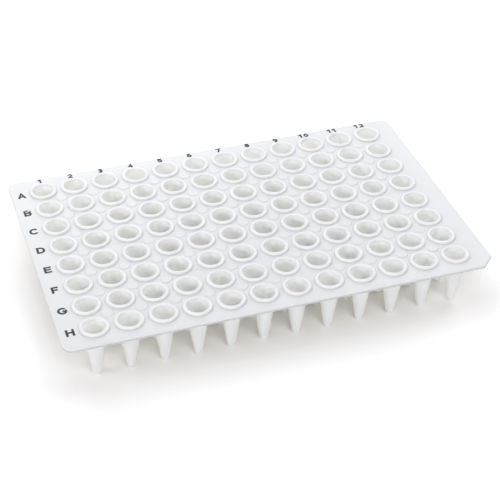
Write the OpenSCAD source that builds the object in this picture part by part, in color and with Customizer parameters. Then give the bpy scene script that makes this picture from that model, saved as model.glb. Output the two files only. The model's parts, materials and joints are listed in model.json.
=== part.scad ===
// Low-profile plate of 96 tapered tubes, without a skirt, as used for heating small samples.
// It is one thin-walled moulding: a flat deck, a grid of tubes that hang through it, a raised
// collar round the mouth of each tube, and a small round pad between every four collars.
// Millimetres. The origin is the middle of the grid, on the plane of the tube tips.
// +X runs along a row, from column 1 to column 12, and +Y runs towards row A.

/* [Grid] */
// Number of tubes along a row
columns = 12; // [2:1:24]
// Number of rows
rows = 8; // [2:1:16]
// Distance between the axes of neighbouring tubes
pitch = 9; // [8.75:0.25:12]

/* [Deck] */
// Height of the plate, from the tube tips to the top of the collars
plate_h = 15.7; // [11:0.1:24]
// Thickness of the deck
deck_t = 1; // [0.8:0.1:2]
// From the axes of the outermost columns to the short sides
margin_x = 9.2; // [6:0.1:15]
// From the axes of the outermost rows to the long sides
margin_y = 6.9; // [6:0.1:12]
// Radius of the three rounded corners
corner_r = 2.5; // [1:0.1:3.5]
// Size of the cut across the fourth corner, which shows the way round
index_cut = 3.5; // [2:0.1:5]
// Radius along the edges of the deck
edge_r = 0.35; // [0.1:0.05:0.35]

/* [Collars] */
// How far the collars stand above the deck
collar_h = 0.6; // [0.3:0.05:1]
// Thickness of a collar at the mouth
collar_wall = 1.1; // [0.8:0.05:1.25]
// Radius of the outer edge on top of a collar
collar_r = 0.4; // [0.1:0.05:0.45]

/* [Tubes] */
// Diameter of the straight mouth, which takes a plug cap
mouth_d = 5.5; // [4.5:0.1:5.8]
// Depth of the mouth, from the top of the collar
mouth_depth = 2; // [1.6:0.1:4]
// Width of the sloped lead-in round the mouth
lead_w = 0.3; // [0.05:0.05:0.35]
// Height of that lead-in
lead_h = 0.3; // [0.1:0.05:0.6]
// Wall of a tube, square to its surface
tube_wall = 0.35; // [0.25:0.01:0.6]
// Radius of the rounded floor inside a tube
floor_r = 0.87; // [0.6:0.01:1.4]
// Diameter of the small flat under the tip
tip_flat_d = 0.9; // [0.4:0.1:1]
// Size of the slope where a tube meets the underside of the deck
root_flare = 0.25; // [0.1:0.05:0.5]

/* [Pads] */
// Diameter of the pads between the collars
pad_d = 3.2; // [2:0.1:3.6]
// How far a raised pad stands above the deck
pad_h = 0.2; // [0.05:0.01:0.3]
// How deep a sunk pad lies below the deck
pad_sink = 0.1; // [0.05:0.01:0.3]

/* [Hidden] */
$fn = 48;
// Overlap that makes a cut pass clean through a face
cut = 0.5;
// How far inside its circle a tangent line starts, so that the two cross cleanly
graze = 0.001;

// Half the span between the axes of the outermost tubes
grid_x = (columns - 1) * pitch / 2;
grid_y = (rows - 1) * pitch / 2;
// Half the length and width of the deck
deck_x = grid_x + margin_x;
deck_y = grid_y + margin_y;
// Heights of the two faces of the deck
deck_top = plate_h - collar_h;
deck_under = deck_top - deck_t;

// Radii of the mouth and of the collar
mouth_r = mouth_d / 2;
collar_out = mouth_r + collar_wall;
// Bottom of the straight mouth
mouth_low = plate_h - mouth_depth;
// Radius of the rounded tip, and the height of its centre above the flat
tip_r = floor_r + tube_wall;
tip_z = sqrt(tip_r ^ 2 - (tip_flat_d / 2) ^ 2);
// Slope of the tube: the line from the foot of the mouth that touches the rounded floor
mouth_rise = mouth_low - tip_z;
mouth_reach = sqrt(mouth_r ^ 2 + mouth_rise ^ 2);
taper = atan2(mouth_r, mouth_rise) - asin(floor_r / mouth_reach);
// Outer radius of the tube at the underside of the deck
root_r = mouth_r + tube_wall / cos(taper) + (deck_under - mouth_low) * tan(taper);

// Pads that the moulding leaves a little below the deck, as [column gap, row gap] counted from
// the corner of column 1 and row A
sunk_pads = [[1, 3], [10, 3], [5, 4], [3, 5], [5, 5], [6, 6]];

// Half section of the deck's border: square inside, rounded on its two outer edges
module border_section(reach) {
    square([reach - edge_r, deck_t]);
    translate([0, edge_r])
        square([reach, deck_t - 2 * edge_r]);
    for (z = [edge_r, deck_t - edge_r])
        translate([reach - edge_r, z])
            circle(edge_r);
}

// Plate with rounded edges and four rounded corners
module rounded_plate() {
    mid_x = deck_x - corner_r;
    mid_y = deck_y - corner_r;
    translate([-mid_x, -mid_y, 0])
        cube([2 * mid_x, 2 * mid_y, deck_t]);
    // Four sides, each with the corner that follows it anticlockwise
    for (side = [0 : 3]) {
        out = side % 2 == 0 ? mid_x : mid_y;
        along = side % 2 == 0 ? mid_y : mid_x;
        rotate([0, 0, 90 * side])
            translate([out, along, 0]) {
                rotate([90, 0, 0])
                    linear_extrude(2 * along)
                        border_section(corner_r);
                rotate_extrude(angle = 90)
                    border_section(corner_r);
            }
    }
}

// Flat deck with rounded edges, three rounded corners and one cut corner
module deck() {
    // From the middle of the deck to the cut, square to it
    cut_reach = (deck_x + deck_y - index_cut) / sqrt(2);
    // Long enough to hold the rest of the deck
    span = deck_x + deck_y;
    translate([0, 0, deck_under])
        intersection() {
            rounded_plate();
            rotate([0, 0, -45])
                translate([-span, 0, 0])
                    rotate([90, 0, 0])
                        linear_extrude(2 * span, center = true)
                            border_section(span + cut_reach);
        }
}

// Half section of a tube and its collar, as if they were solid
module tube_outside() {
    intersection() {
        square([collar_out, plate_h]);
        union() {
            translate([0, tip_z])
                circle(tip_r);
            polygon([
                [0, tip_z],
                [(tip_r - graze) * cos(taper), tip_z - (tip_r - graze) * sin(taper)],
                [root_r - root_flare * tan(taper), deck_under - root_flare],
                [root_r + root_flare, deck_under],
                [root_r + root_flare, deck_under + deck_t / 2],
                [0, deck_under + deck_t / 2]
            ]);
        }
    }
    // Collar, from inside the deck up to its rounded outer edge
    translate([0, deck_under + deck_t / 2]) {
        square([collar_out, deck_t / 2 + collar_h - collar_r]);
        square([collar_out - collar_r, deck_t / 2 + collar_h]);
    }
    translate([collar_out - collar_r, plate_h - collar_r])
        circle(collar_r);
}

// Half section of the space inside a tube: rounded floor, taper, straight mouth and lead-in
module tube_inside() {
    intersection() {
        square([collar_out, plate_h + cut]);
        union() {
            translate([0, tip_z])
                circle(floor_r);
            polygon([
                [0, tip_z],
                [(floor_r - graze) * cos(taper), tip_z - (floor_r - graze) * sin(taper)],
                [mouth_r, mouth_low],
                [mouth_r, plate_h - lead_h],
                [mouth_r + lead_w, plate_h],
                [mouth_r + lead_w, plate_h + cut],
                [0, plate_h + cut]
            ]);
        }
    }
}

// Puts a copy of what follows on the axis of every tube
module at_tubes() {
    for (i = [0 : columns - 1], j = [0 : rows - 1])
        translate([i * pitch - grid_x, grid_y - j * pitch])
            children();
}

// Puts a copy on the deck between every four tubes, at the sunk pads or at the others
module at_pads(sunk) {
    for (i = [0 : columns - 2], j = [0 : rows - 2])
        if (sunk == (len([for (p = sunk_pads) if (p == [i, j]) 1]) > 0))
            translate([(i + 0.5) * pitch - grid_x, grid_y - (j + 0.5) * pitch, deck_top])
                children();
}

// Shallow cone round the face of the deck: its sloped side reaches as far above as below
module pad(low_d, high_d) {
    h = abs(high_d - low_d) / 2;
    translate([0, 0, -h / 2])
        cylinder(h = h, d1 = low_d, d2 = high_d);
}

// Whole moulding
module well_plate() {
    color("white")
        difference() {
            union() {
                deck();
                at_tubes()
                    rotate_extrude()
                        tube_outside();
                at_pads(false)
                    pad(pad_d + 2 * pad_h, pad_d - 2 * pad_h);
            }
            at_tubes()
                rotate_extrude()
                    tube_inside();
            at_pads(true)
                pad(pad_d - 2 * pad_sink, pad_d + 2 * pad_sink);
        }
}

well_plate();
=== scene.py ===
"""A white 96-well plate with a printed index, on a pale floor in soft studio light. Metres."""

import json
import math

import bmesh
import bpy
from mathutils import Matrix, Vector


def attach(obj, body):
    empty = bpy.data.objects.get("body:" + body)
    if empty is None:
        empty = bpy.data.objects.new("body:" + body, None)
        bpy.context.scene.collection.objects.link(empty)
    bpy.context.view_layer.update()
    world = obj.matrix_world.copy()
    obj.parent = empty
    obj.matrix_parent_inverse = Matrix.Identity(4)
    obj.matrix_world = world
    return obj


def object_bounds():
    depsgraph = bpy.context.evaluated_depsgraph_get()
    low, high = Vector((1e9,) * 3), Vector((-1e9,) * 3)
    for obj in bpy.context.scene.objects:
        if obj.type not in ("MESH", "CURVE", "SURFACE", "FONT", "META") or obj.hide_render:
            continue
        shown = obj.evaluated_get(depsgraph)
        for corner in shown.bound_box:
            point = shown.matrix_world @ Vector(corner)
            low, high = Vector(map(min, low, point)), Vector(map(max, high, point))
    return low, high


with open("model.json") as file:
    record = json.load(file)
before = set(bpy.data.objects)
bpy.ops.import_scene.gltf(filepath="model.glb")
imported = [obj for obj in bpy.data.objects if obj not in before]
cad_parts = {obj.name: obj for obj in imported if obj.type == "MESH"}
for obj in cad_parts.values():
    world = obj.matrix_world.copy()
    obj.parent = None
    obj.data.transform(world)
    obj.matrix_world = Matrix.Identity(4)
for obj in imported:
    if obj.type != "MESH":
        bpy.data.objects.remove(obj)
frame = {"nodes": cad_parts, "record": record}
CAD_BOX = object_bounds()

MM = 0.001
scene = bpy.context.scene
plate = frame["nodes"]["well_plate"]
mounts = {m["name"]: m for m in frame["record"]["mounts"]}

# The grid of wells, from the two corner mouths that the record states, and its two pitches
ROWS = "ABCDEFGH"
COLUMNS = 12
FIRST_WELL = Vector(mounts["cap_mouth_a1"]["pos_m"])
LAST_WELL = Vector(mounts["cap_mouth_h12"]["pos_m"])
STEP_X = (LAST_WELL.x - FIRST_WELL.x) / (COLUMNS - 1)
STEP_Y = (LAST_WELL.y - FIRST_WELL.y) / (len(ROWS) - 1)
# Sizes of the plate that its source has too: height of the collars, deck, and radius of a mouth
COLLAR_H = 0.6 * MM
DECK_T = 1.0 * MM
MOUTH_R = 2.75 * MM
# Heights of the collars' rims and of the two faces of the deck
RIM_TOP = mounts["seal_plane"]["pos_m"][2]
DECK_TOP = RIM_TOP - COLLAR_H
DECK_UNDER = DECK_TOP - DECK_T
# Light goes round this often between the pale walls of a tube
PALE_BOUNCES = 16


def direction(azimuth, elevation):
    """Unit vector from two angles in degrees: clockwise from +Y, seen from above, and upwards."""
    a, e = math.radians(azimuth), math.radians(elevation)
    return Vector((math.sin(a) * math.cos(e), math.cos(a) * math.cos(e), math.sin(e)))


# --- Camera -------------------------------------------------------------------------------

# What the camera looks at, the way it looks in degrees, and its distance from there
VIEW_AIM = Vector((-2.44 * MM, -13.41 * MM, RIM_TOP))
VIEW_AZIMUTH = 18.55
VIEW_ELEVATION = -36.87
VIEW_ROLL = 0.44
VIEW_DISTANCE = 381.8 * MM
# The lens and the sensor's width in millimetres, and the nearest thing that shows
VIEW_LENS = 102.42
VIEW_SENSOR = 36.0
VIEW_NEAREST = 10 * MM


def make_camera():
    """The photograph's viewpoint: from the front, left of the plate, looking down on it."""
    data = bpy.data.cameras.new("camera")
    data.lens = VIEW_LENS
    data.sensor_width = VIEW_SENSOR
    data.clip_start = VIEW_NEAREST
    camera = bpy.data.objects.new("camera", data)
    scene.collection.objects.link(camera)
    ahead = direction(VIEW_AZIMUTH, VIEW_ELEVATION)
    roll = Matrix.Rotation(math.radians(VIEW_ROLL), 4, "Z").to_quaternion()
    camera.rotation_mode = "QUATERNION"
    camera.rotation_quaternion = ahead.to_track_quat("-Z", "Y") @ roll
    camera.location = VIEW_AIM - ahead * VIEW_DISTANCE
    scene.camera = camera


# --- Node helpers -------------------------------------------------------------------------

# The two ends of a ramp that goes up, and of one that goes down
RISING = (0.0, 1.0)
FALLING = (1.0, 0.0)
# Depth of every grain, which the strength of its bump takes a share of
GRAIN_DEPTH = 0.01 * MM


class Nodes:
    """Builds a node tree. A socket's value is a constant, or another node's output to link."""

    def __init__(self, owner):
        owner.use_nodes = True
        self.tree = owner.node_tree
        self.tree.nodes.clear()

    def add(self, kind, values=None, **settings):
        """A new node with these settings, and these values in its sockets."""
        node = self.tree.nodes.new(kind)
        for name, setting in settings.items():
            setattr(node, name, setting)
        for socket, value in (values or {}).items():
            if isinstance(value, bpy.types.NodeSocket):
                self.tree.links.new(value, node.inputs[socket])
            else:
                node.inputs[socket].default_value = value
        return node

    def place(self):
        """Where each point of the object lies, in metres."""
        return self.add("ShaderNodeTexCoord").outputs["Object"]

    def height(self, place):
        """How high a place is."""
        return self.add("ShaderNodeSeparateXYZ", {"Vector": place}).outputs["Z"]

    def noise(self, place, size, detail=2.0):
        """Noise whose grains are about size metres across."""
        values = {"Vector": place, "Scale": 1.0 / size, "Detail": detail}
        return self.add("ShaderNodeTexNoise", values).outputs["Fac"]

    def grain(self, place, size, strength, detail=2.0):
        """Normal of a surface with a fine grain."""
        bumps = self.noise(place, size, detail)
        values = {"Strength": strength, "Distance": GRAIN_DEPTH, "Height": bumps}
        return self.add("ShaderNodeBump", values).outputs["Normal"]

    def ramp(self, value, limits, ends=RISING, **settings):
        """Goes from one end to the other between value's limits, and stays level past them."""
        names = ("Value", "From Min", "From Max", "To Min", "To Max")
        values = dict(zip(names, (value, *limits, *ends)))
        return self.add("ShaderNodeMapRange", values, **settings).outputs["Result"]

    def spread(self, share, ends):
        """Goes from one end to the other as share goes from 0 to 1."""
        return self.ramp(share, (0.0, 1.0), ends)

    def maths(self, operation, first, second):
        """One step of arithmetic on two numbers."""
        values = {0: first, 1: second}
        return self.add("ShaderNodeMath", values, operation=operation).outputs["Value"]

    def vector_maths(self, operation, *vectors):
        """One step of arithmetic on one vector or two."""
        values = dict(enumerate(vectors))
        return self.add("ShaderNodeVectorMath", values, operation=operation).outputs["Vector"]

    def length(self, vector):
        """Length of a vector."""
        return self.add("ShaderNodeVectorMath", {0: vector}, operation="LENGTH").outputs["Value"]

    def mix(self, share, first, second, **settings):
        """First colour where share is 0, and the second, or their blend, where it is 1."""
        values = {"Factor": share, "A": first, "B": second}
        return self.add("ShaderNodeMix", values, data_type="RGBA", **settings).outputs["Result"]

    def multiply(self, share, colour, tint):
        """Colour that is multiplied by tint where share is 1."""
        return self.mix(share, colour, tint, blend_type="MULTIPLY")


def new_material(name):
    """An empty node material, and what builds its nodes."""
    material = bpy.data.materials.new(name)
    return material, Nodes(material)


# --- Materials ----------------------------------------------------------------------------

# The two tones that the plastic's colour drifts between
PLASTIC_PALE = (0.96, 0.957, 0.924, 1.0)
PLASTIC_DEEP = (0.945, 0.942, 0.907, 1.0)
# Shares of that colour left: on the deck and the feet of the collars, which is painted shade that
# makes them darker than the rims, with a little of it from the plastic there letting more light
# through; on the deck's side and underside, which is painted shade; and on the lead-in of each
# mouth, which is a painted shade line. They were chosen by comparing renders with the photograph.
DECK_SHADE = (0.9, 0.904, 0.914, 1.0)
SIDE_SHADE = (0.7, 0.7, 0.7, 1.0)
LEAD_SHADE = (0.87, 0.87, 0.87, 1.0)
# Where those shares start and end: distances from the axis of a well, and heights
BODY_RADII = (MOUTH_R + 0.05 * MM, MOUTH_R + 0.25 * MM)
BODY_HEIGHTS = (DECK_UNDER + 0.05 * MM, DECK_UNDER + 0.15 * MM)
DECK_SHADE_HEIGHTS = (DECK_TOP + 0.25 * MM, RIM_TOP)
SIDE_SHADE_HEIGHTS = (DECK_TOP - 0.28 * MM, DECK_TOP - 0.12 * MM)
LEAD_SHADE_RADII = (MOUTH_R + 0.23 * MM, MOUTH_R + 0.3 * MM)
LEAD_SHADE_HEIGHTS = (RIM_TOP - 0.9 * MM, RIM_TOP - 0.45 * MM)
# Share of the colour left in a sharp corner, such as the foot of a collar, which is painted shade
# from ambient occlusion; how far it reaches, how open a point is where the colour gets no darker,
# and the rays that measure this
CREASE_SHADE = 0.79
CREASE_REACH = 0.5 * MM
CREASE_OPENNESS = 0.45
CREASE_RAYS = 8
# Share of the light that travels inside the plastic, in the thin tubes and in the deck, how far
# it goes there, and the share of that for red, green and blue
TUBE_GLOW = 0.6
DECK_GLOW = 0.12
GLOW_REACH = 2.0 * MM
GLOW_COLOURS = (1.0, 0.97, 0.9)
PLASTIC_IOR = 1.49
PLASTIC_ROUGHNESS = (0.36, 0.48)
# Sizes of the drifts of colour, of the patches that shine more, and of the fine grain
PLASTIC_CLOUD = 14 * MM
PLASTIC_PATCH = 5 * MM
PLASTIC_GRAIN = 0.25 * MM
PLASTIC_BUMP = 0.25

# Colours of the ink and of its thin patches, and their sizes
INK_BLACK = (0.012, 0.012, 0.014, 1.0)
INK_THIN = (0.03, 0.03, 0.032, 1.0)
INK_ROUGHNESS = 0.55
INK_PATCH = 0.5 * MM
INK_GRAIN = 0.12 * MM
INK_BUMP = 0.3

FLOOR_WHITE = (0.89, 0.877, 0.852, 1.0)
# How much white the floor has of its own where it is seen away from the plate. This fades away
# from FADE_OUTSIDE past the deck's edges to FADE_INSIDE within them, which paints a soft shadow
# around and under the plate.
FLOOR_GLOW = 0.46
FADE_OUTSIDE = 17 * MM
FADE_INSIDE = 8 * MM
# The lamps' light thins out between these distances from the plate, and the white makes up for it
FAR_START = 0.1
FAR_END = 0.5


def well_distance(nodes, place):
    """Distance from the axis of the nearest well."""
    offset = nodes.vector_maths("SUBTRACT", place, FIRST_WELL)
    nearest = nodes.vector_maths("ADD", offset, (STEP_X / 2, STEP_X / 2, 0))
    nearest = nodes.vector_maths("SNAP", nearest, (STEP_X, STEP_X, STEP_X))
    # Past the grid's border, the nearest well is one on the border
    far_corner = LAST_WELL - FIRST_WELL
    nearest = nodes.vector_maths("MINIMUM", nearest, (far_corner.x, 0, 0))
    nearest = nodes.vector_maths("MAXIMUM", nearest, (0, far_corner.y, 0))
    across = nodes.vector_maths("SUBTRACT", offset, nearest)
    return nodes.length(nodes.vector_maths("MULTIPLY", across, (1, 1, 0)))


def plate_masks(nodes, place):
    """0 to 1 values: the deck and collars, and where painted shade falls on their lower parts, on
    the deck's side and underside, and on the lead-ins.
    """
    radius = well_distance(nodes, place)
    height = nodes.height(place)
    around = nodes.ramp(radius, BODY_RADII)
    above = nodes.ramp(height, BODY_HEIGHTS)
    body = nodes.maths("MULTIPLY", around, above)
    # Painted shade on the deck and the feet of the collars, fading out up the collars
    thin = nodes.maths("MULTIPLY", body, nodes.ramp(height, DECK_SHADE_HEIGHTS, FALLING))
    # Painted shade on the deck's side and underside
    side = nodes.maths("MULTIPLY", body, nodes.ramp(height, SIDE_SHADE_HEIGHTS, FALLING))
    # Painted shade line on the lead-in of each mouth
    bore = nodes.ramp(radius, LEAD_SHADE_RADII, FALLING)
    lead = nodes.maths("MULTIPLY", bore, nodes.ramp(height, LEAD_SHADE_HEIGHTS))
    return body, thin, side, lead


def plastic_material():
    """White moulded polypropylene: satin, faintly cloudy, a little light shines through it, and
    painted shade in its colour.
    """
    material, nodes = new_material("plate_plastic")
    place = nodes.place()
    body, thin, side, lead = plate_masks(nodes, place)

    clouds = nodes.noise(place, PLASTIC_CLOUD, detail=3.0)
    colour = nodes.mix(clouds, PLASTIC_PALE, PLASTIC_DEEP)
    # Painted shade: the deck and the feet of the collars darker than the rims
    colour = nodes.multiply(thin, colour, DECK_SHADE)
    # Painted shade: the deck's side and underside darker
    colour = nodes.multiply(side, colour, SIDE_SHADE)
    # Painted shade: a darker line on the lead-in of each mouth
    colour = nodes.multiply(lead, colour, LEAD_SHADE)
    # Painted shade in corners, at the feet of collars and pads, from ambient occlusion
    corner = nodes.add("ShaderNodeAmbientOcclusion", {"Distance": CREASE_REACH},
                       samples=CREASE_RAYS, only_local=True)
    crease_shade = nodes.ramp(corner.outputs["AO"], (CREASE_OPENNESS, 1.0), (CREASE_SHADE, 1.0))
    colour = nodes.multiply(1.0, colour, crease_shade)

    shine = nodes.noise(place, PLASTIC_PATCH)
    shader = nodes.add("ShaderNodeBsdfPrincipled", {
        "Base Color": colour,
        "Roughness": nodes.spread(shine, PLASTIC_ROUGHNESS),
        "IOR": PLASTIC_IOR,
        "Normal": nodes.grain(place, PLASTIC_GRAIN, PLASTIC_BUMP, detail=3.0),
        "Subsurface Weight": nodes.spread(body, (TUBE_GLOW, DECK_GLOW)),
        "Subsurface Radius": GLOW_COLOURS,
        "Subsurface Scale": GLOW_REACH,
    })
    nodes.add("ShaderNodeOutputMaterial", {"Surface": shader.outputs["BSDF"]})
    return material


def ink_material():
    """Matt black printing ink, a little thin in places."""
    material, nodes = new_material("black_ink")
    place = nodes.place()
    shader = nodes.add("ShaderNodeBsdfPrincipled", {
        "Base Color": nodes.mix(nodes.noise(place, INK_PATCH), INK_BLACK, INK_THIN),
        "Roughness": INK_ROUGHNESS,
        "Normal": nodes.grain(place, INK_GRAIN, INK_BUMP),
    })
    nodes.add("ShaderNodeOutputMaterial", {"Surface": shader.outputs["BSDF"]})
    return material


def floor_glow_with_painted_shadow(nodes):
    """How much white the floor has of its own at each place, from 0 to 1, less near the plate as
    painted shadow.
    """
    low, high = CAD_BOX
    half_x = (high[0] - low[0]) / 2 - FADE_INSIDE
    half_y = (high[1] - low[1]) / 2 - FADE_INSIDE
    aside = nodes.vector_maths("ABSOLUTE", nodes.place())
    past = nodes.vector_maths("SUBTRACT", aside, (half_x, half_y, 0))
    away = nodes.length(nodes.vector_maths("MAXIMUM", past, (0, 0, 0)))
    # Painted shadow: the white fades away towards the plate and is gone under it
    near = nodes.ramp(away, (0.0, FADE_INSIDE + FADE_OUTSIDE), (0.0, FLOOR_GLOW),
                      interpolation_type="SMOOTHSTEP")
    far = nodes.ramp(away, (FAR_START, FAR_END), (0.0, 1.0 - FLOOR_GLOW))
    return nodes.maths("ADD", near, far)


def floor_material():
    """Pale floor that keeps the plate's shadow, adds painted shadow near it, and reads as white
    away from it.
    """
    material, nodes = new_material("floor")
    diffuse = nodes.add("ShaderNodeBsdfDiffuse", {"Color": FLOOR_WHITE}).outputs["BSDF"]
    glow = nodes.add("ShaderNodeEmission", {"Strength": floor_glow_with_painted_shadow(nodes)})
    white = nodes.add("ShaderNodeAddShader", {0: diffuse, 1: glow.outputs["Emission"]})
    # The camera and reflections see the white, and it doesn't light the plate otherwise
    ray = nodes.add("ShaderNodeLightPath").outputs
    seen = nodes.maths("MAXIMUM", ray["Is Camera Ray"], ray["Is Glossy Ray"])
    seen = nodes.maths("MAXIMUM", seen, ray["Is Transmission Ray"])
    both = {"Fac": seen, 1: diffuse, 2: white.outputs["Shader"]}
    mix = nodes.add("ShaderNodeMixShader", both)
    nodes.add("ShaderNodeOutputMaterial", {"Surface": mix.outputs["Shader"]})
    return material


# --- Printed index ------------------------------------------------------------------------

# Heights of the letters and numbers, their pen widths, and the ink's thickness on the deck
LETTER_H = 2.7 * MM
LETTER_PEN = 0.63 * MM
NUMBER_H = 2.0 * MM
NUMBER_PEN = 0.51 * MM
INK_T = 0.012 * MM
# Middle of the letters and of the numbers, outwards from the first column and the first row
LETTER_OFFSET = 6.25 * MM
NUMBER_OFFSET = 5.5 * MM
# How far the letters sit below the middle of their row
LETTER_DROP = 0.17 * MM
# The numbers are printed at a slightly smaller pitch than that of the columns
NUMBER_PITCH_SHARE = 0.9955
# Space between the two figures of a number, as a share of its height
FIGURE_GAP = 0.32
ARC_STEP = math.radians(12)
# Points of a stroke that are this close are one point, as a share of the height
SAME_POINT = 1e-6
# A corner's point goes out by at most half the pen over this, so that none runs out to a spike
LEAST_MITRE = 0.5


def arc(cx, cy, rx, ry, start, end):
    """Points on an ellipse from one angle to another, in degrees."""
    a, b = math.radians(start), math.radians(end)
    steps = max(2, math.ceil(abs(b - a) / ARC_STEP))
    return [
        (cx + rx * math.cos(a + (b - a) * i / steps), cy + ry * math.sin(a + (b - a) * i / steps))
        for i in range(steps + 1)
    ]


def bowls(left, right, top, middle, foot):
    """The two bowls of B."""
    high_r, low_r = 0.22, 0.24
    return [
        [(left, top), (right - high_r, top)]
        + arc(right - high_r - 0.02, (top + middle) / 2, high_r, (top - middle) / 2, 90, -90)
        + [(left, middle)],
        [(left, middle), (right - low_r, middle)]
        + arc(right - low_r, (middle + foot) / 2, low_r, (middle - foot) / 2, 90, -90)
        + [(left, foot)],
    ]


def letters(pen):
    """Pen strokes of the letters: {letter: (width, [path, ...])}, with their height as 1.

    The paths are the middle of the pen, and pen is its width. A path that ends where it
    starts is closed."""
    p = pen / 2
    top, foot, bar = 1 - p, p, 0.52
    width = {"A": 0.92, "B": 0.78, "C": 0.97, "D": 0.87, "E": 0.76, "F": 0.7, "G": 0.98, "H": 0.84}
    middle = {letter: size / 2 for letter, size in width.items()}
    right = {letter: size - p for letter, size in width.items()}
    stem = [(p, 0), (p, 1)]
    paths = {
        "A": [
            [(p, 0), (middle["A"], 1 - pen * 0.55), (right["A"], 0)],
            [(0.24, 0.3), (width["A"] - 0.24, 0.3)],
        ],
        "B": [stem, *bowls(p, right["B"], top, bar, foot)],
        "C": [arc(middle["C"], 0.5, middle["C"] - p, 0.5 - p, 37, 323)],
        "D": [
            stem,
            [(p, top), (0.36, top)]
            + arc(0.36, 0.5, right["D"] - 0.36, 0.5 - p, 90, -90)
            + [(p, foot)],
        ],
        "E": [
            [(width["E"], top), (p, top), (p, foot), (width["E"], foot)],
            [(p, bar), (width["E"] - 0.05, bar)],
        ],
        "F": [
            [(width["F"], top), (p, top), (p, 0)],
            [(p, bar - 0.02), (width["F"] - 0.06, bar - 0.02)],
        ],
        "G": [
            arc(middle["G"], 0.5, middle["G"] - p, 0.5 - p, 40, 360)
            + [(right["G"], 0.45), (middle["G"], 0.45)]
        ],
        "H": [stem, [(right["H"], 0), (right["H"], 1)], [(p, bar), (right["H"], bar)]],
    }
    return {letter: (width[letter], paths[letter]) for letter in paths}


def figures(pen):
    """Pen strokes of the figures, in the same form as those of the letters."""
    p = pen / 2
    top, foot = 1 - p, p
    width = 0.7
    middle, rx = width / 2, width / 2 - p
    narrow, wide = 0.5, width + 0.02
    return {
        "0": (width, [arc(middle, 0.5, rx, 0.5 - p, 0, 360)]),
        "1": (narrow, [
            [(narrow - p, 0), (narrow - p, 0.97)],
            [(0.02, 0.68), (0.22, 0.74), (narrow - p, 0.97)],
        ]),
        "2": (width, [arc(middle, top - 0.25, rx, 0.25, 165, -35) + [(p, foot), (width, foot)]]),
        "3": (width, [
            arc(middle, top - 0.21, rx - 0.03, 0.21, 160, -80)
            + arc(middle - 0.02, foot + 0.24, rx, 0.24, 80, -160)
        ]),
        "4": (wide, [[(width * 0.7, 0), (width * 0.7, top), (p, 0.3), (wide, 0.3)]]),
        "5": (width, [
            [(width - 0.04, top), (0.16, top), (0.12, 0.5)]
            + arc(middle - 0.02, foot + 0.245, rx, 0.245, 130, -160)
        ]),
        "6": (width, [
            arc(middle, foot + 0.23, rx, 0.23, 0, 360),
            arc(middle + 0.1, 0.46, rx + 0.1, 0.54 - p, 180, 75),
        ]),
        "7": (width, [[(0, top), (width - p, top), (0.24, 0)]]),
        "8": (width, [
            arc(middle, foot + 0.225, rx, 0.225, 0, 360),
            arc(middle, top - 0.2, rx - 0.04, 0.2, 0, 360),
        ]),
        "9": (width, [
            arc(middle, top - 0.23, rx, 0.23, 0, 360),
            arc(middle - 0.1, 0.54, rx + 0.1, 0.54 - p, 0, -105),
        ]),
    }


def pen_stroke(mesh, path, pen, low, high):
    """Adds a pen stroke to mesh as a closed prism of width pen between two heights."""
    points = [Vector(place) for place in path]
    closed = (points[0] - points[-1]).length < SAME_POINT
    if closed:
        points.pop()
    points = [q for i, q in enumerate(points) if i == 0 or (q - points[i - 1]).length > SAME_POINT]
    rings = []
    for i, q in enumerate(points):
        # The ways in which the stroke comes to this point and leaves it
        ways = []
        if closed or i > 0:
            ways.append((q - points[i - 1]).normalized())
        if closed or i < len(points) - 1:
            ways.append((points[(i + 1) % len(points)] - q).normalized())
        along = sum(ways, Vector((0, 0))).normalized()
        side = Vector((-along.y, along.x)) * (pen / 2)
        if len(ways) == 2:
            side /= max(LEAST_MITRE, along.dot(ways[0]))
        corners = [(q + side, low), (q - side, low), (q - side, high), (q + side, high)]
        rings.append([mesh.verts.new((c.x, c.y, z)) for c, z in corners])
    following = rings[1:] + rings[:1] if closed else rings[1:]
    for a, b in zip(rings, following):
        for k in range(4):
            mesh.faces.new((a[k], a[(k + 1) % 4], b[(k + 1) % 4], b[k]))
    if not closed:
        mesh.faces.new(reversed(rings[0]))
        mesh.faces.new(rings[-1])


def joined_mesh(piece):
    """The mesh of piece, with its volumes joined into one closed skin where they cross."""
    join = piece.modifiers.new("join", "BOOLEAN")
    join.operation = "UNION"
    join.solver = "EXACT"
    join.use_self = True
    join.operand_type = "COLLECTION"
    # The piece is joined with itself alone, so there is nothing in the collection
    join.collection = bpy.data.collections.get("nothing") or bpy.data.collections.new("nothing")
    graph = bpy.context.evaluated_depsgraph_get()
    joined = bpy.data.meshes.new_from_object(piece.evaluated_get(graph))
    piece.modifiers.clear()
    return joined


def ink_text(name, text, middle, height, pen, material):
    """A printed word lying on the deck: its strokes joined into one thin closed film."""
    shapes = letters(pen / height) | figures(pen / height)
    widths = [shapes[c][0] for c in text]
    mesh = bmesh.new()
    left = -(sum(widths) + FIGURE_GAP * (len(text) - 1)) / 2
    for c, width in zip(text, widths):
        for path in shapes[c][1]:
            moved = [(x + left, y - 0.5) for x, y in path]
            pen_stroke(mesh, moved, pen / height, -0.5, 0.5)
        left += width + FIGURE_GAP
    bmesh.ops.recalc_face_normals(mesh, faces=mesh.faces)
    data = bpy.data.meshes.new(name)
    mesh.to_mesh(data)
    mesh.free()
    piece = bpy.data.objects.new(name, data)
    scene.collection.objects.link(piece)
    film = joined_mesh(piece)
    # The film reaches as far into the deck as it stands above it, so that no gap shows
    film.transform(Matrix.Diagonal((height, height, INK_T * 2, 1)))
    film.transform(Matrix.Translation(Vector((middle[0], middle[1], DECK_TOP))))
    film.materials.clear()
    film.materials.append(material)
    piece.data = film
    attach(piece, "root")


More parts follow.
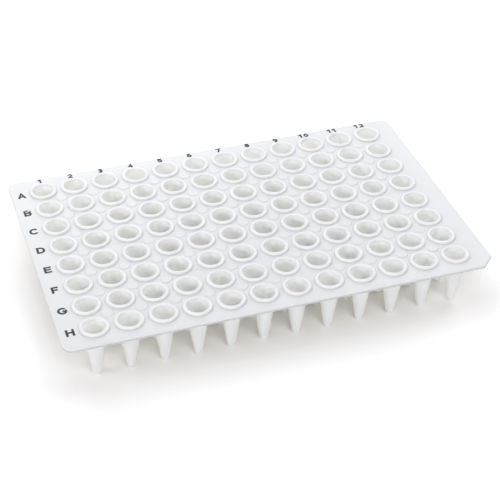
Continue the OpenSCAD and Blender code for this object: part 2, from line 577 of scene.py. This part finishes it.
def print_index():
    """Letters beside the rows and numbers behind the columns."""
    material = ink_material()
    for j, letter in enumerate(ROWS):
        at = (FIRST_WELL.x - LETTER_OFFSET, FIRST_WELL.y + j * STEP_Y - LETTER_DROP)
        ink_text(f"index_row_{letter}", letter, at, LETTER_H, LETTER_PEN, material)
    for i in range(COLUMNS):
        at = (FIRST_WELL.x + i * STEP_X * NUMBER_PITCH_SHARE, FIRST_WELL.y + NUMBER_OFFSET)
        ink_text(f"index_column_{i + 1}", str(i + 1), at, NUMBER_H, NUMBER_PEN, material)


# --- Stage --------------------------------------------------------------------------------

# Side of the square floor
FLOOR_SIZE = 4.0
# Soft lamps: degrees clockwise from behind the plate, degrees up, distance, width and watts
LAMPS = {
    "back": (0, 25, 0.35, 0.2, 0.42),
    "key": (40, 27, 0.8, 0.4, 1.7),
    "back_left": (-30, 45, 0.8, 0.4, 1.1),
    "left": (-90, 33, 1.3, 0.65, 4.5),
    "low_left": (-105, 14, 1.0, 0.5, 0.9),
    "front_left": (-135, 15, 1.0, 0.5, 2.2),
    "right": (90, 50, 1.0, 0.4, 1.1),
    "low_right": (60, 20, 1.0, 0.4, 1.3),
    "low_front": (150, 14, 1.0, 0.5, 1.7),
    "front": (180, 42, 1.5, 0.8, 9.1),
}
LAMP_COLOUR = (0.94, 0.948, 1.0)
SKY_STRENGTH = 0.02
PURE_WHITE = (1.0, 1.0, 1.0, 1.0)


def make_floor():
    """Pale floor under the tube tips."""
    mesh = bpy.data.meshes.new("floor")
    h = FLOOR_SIZE / 2
    mesh.from_pydata([(-h, -h, 0), (h, -h, 0), (h, h, 0), (-h, h, 0)], [], [(0, 1, 2, 3)])
    mesh.materials.append(floor_material())
    floor = bpy.data.objects.new("floor", mesh)
    scene.collection.objects.link(floor)


def make_lamp(name, azimuth, elevation, distance, width, power):
    """A square soft lamp that looks at the middle of the plate."""
    data = bpy.data.lights.new(name, "AREA")
    data.shape = "SQUARE"
    data.size = width
    data.energy = power
    data.color = LAMP_COLOUR
    lamp = bpy.data.objects.new(name, data)
    outwards = direction(azimuth, elevation)
    lamp.location = outwards * distance
    lamp.rotation_mode = "QUATERNION"
    lamp.rotation_quaternion = (-outwards).to_track_quat("-Z", "Y")
    lamp.visible_camera = False
    scene.collection.objects.link(lamp)


def make_sky():
    """Faint even light from all round, seen as white."""
    world = bpy.data.worlds.new("sky")
    nodes = Nodes(world)
    sky = nodes.add("ShaderNodeBackground",
                    {"Color": (*LAMP_COLOUR, 1.0), "Strength": SKY_STRENGTH})
    seen = nodes.add("ShaderNodeBackground", {"Color": PURE_WHITE, "Strength": 1.0})
    mix = nodes.add("ShaderNodeMixShader", {
        "Fac": nodes.add("ShaderNodeLightPath").outputs["Is Camera Ray"],
        1: sky.outputs["Background"],
        2: seen.outputs["Background"],
    })
    nodes.add("ShaderNodeOutputWorld", {"Surface": mix.outputs["Shader"]})
    scene.world = world


# --- Assembly -----------------------------------------------------------------------------

make_camera()
plate.data.materials.clear()
plate.data.materials.append(plastic_material())
print_index()
make_floor()
for lamp_name, lamp_place in LAMPS.items():
    make_lamp(lamp_name, *lamp_place)
make_sky()
scene.cycles.diffuse_bounces = PALE_BOUNCES
scene.cycles.max_bounces = PALE_BOUNCES
scene.view_settings.view_transform = "Standard"
